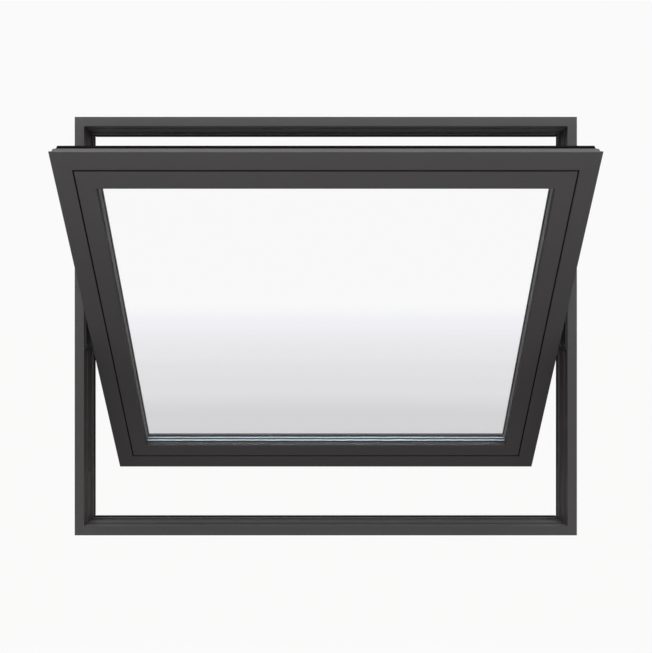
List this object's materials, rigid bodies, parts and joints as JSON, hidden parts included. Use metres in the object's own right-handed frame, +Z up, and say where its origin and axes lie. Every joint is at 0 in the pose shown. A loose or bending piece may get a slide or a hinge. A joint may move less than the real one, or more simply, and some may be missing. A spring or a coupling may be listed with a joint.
{
  "type": "horizontal pivot window",
  "caption": "Dark grey aluminium window whose double glazed sash turns on side pivots at mid height, top in and bottom out.",
  "frame": {"origin": "middle of the flat underside of the sill: half the width and half the frame depth", "axes": "+X along the width to the right as seen from the room, +Y from the room to the outside, +Z up"},
  "size_m": [1.2, 0.596, 1],
  "materials": {
    "coated_aluminium": "matt powder coat, dark grey",
    "glass": "clear float glass",
    "seal_rubber": "matt black rubber",
    "spacer": "dark warm edge spacer",
    "hinge_metal": "black coated steel",
    "washer": "dark plain nylon"
  },
  "bodies": {
    "frame": {"frame_sill": "coated_aluminium", "frame_head": "coated_aluminium", "frame_jamb_left": "coated_aluminium", "frame_jamb_right": "coated_aluminium", "stop_seal_sill": "seal_rubber", "stop_seal_head": "seal_rubber", "stop_seal_jamb_left": "seal_rubber", "stop_seal_jamb_right": "seal_rubber", "hinge_frame_plate_left": "hinge_metal", "hinge_frame_plate_right": "hinge_metal", "hinge_washer_left": "washer", "hinge_washer_right": "washer"},
    "sash": {"sash_rail_bottom": "coated_aluminium", "sash_rail_top": "coated_aluminium", "sash_stile_left": "coated_aluminium", "sash_stile_right": "coated_aluminium", "bead_bottom": "coated_aluminium", "bead_top": "coated_aluminium", "bead_left": "coated_aluminium", "bead_right": "coated_aluminium", "sash_seal_bottom": "seal_rubber", "sash_seal_top": "seal_rubber", "sash_seal_left": "seal_rubber", "sash_seal_right": "seal_rubber", "hinge_sash_plate_left": "hinge_metal", "hinge_sash_plate_right": "hinge_metal", "glass_inner": "glass", "glass_outer": "glass", "glass_spacer": "spacer", "gasket_inner": "seal_rubber", "gasket_outer": "seal_rubber"}
  },
  "joints": [
    {"name": "sash_pivot", "type": "hinge", "parent": "frame", "child": "sash", "pos_m": [0, -0.0117, 0.5], "axis": [1, 0, 0], "range_deg": [-37.3, 52.7]}
  ]
}
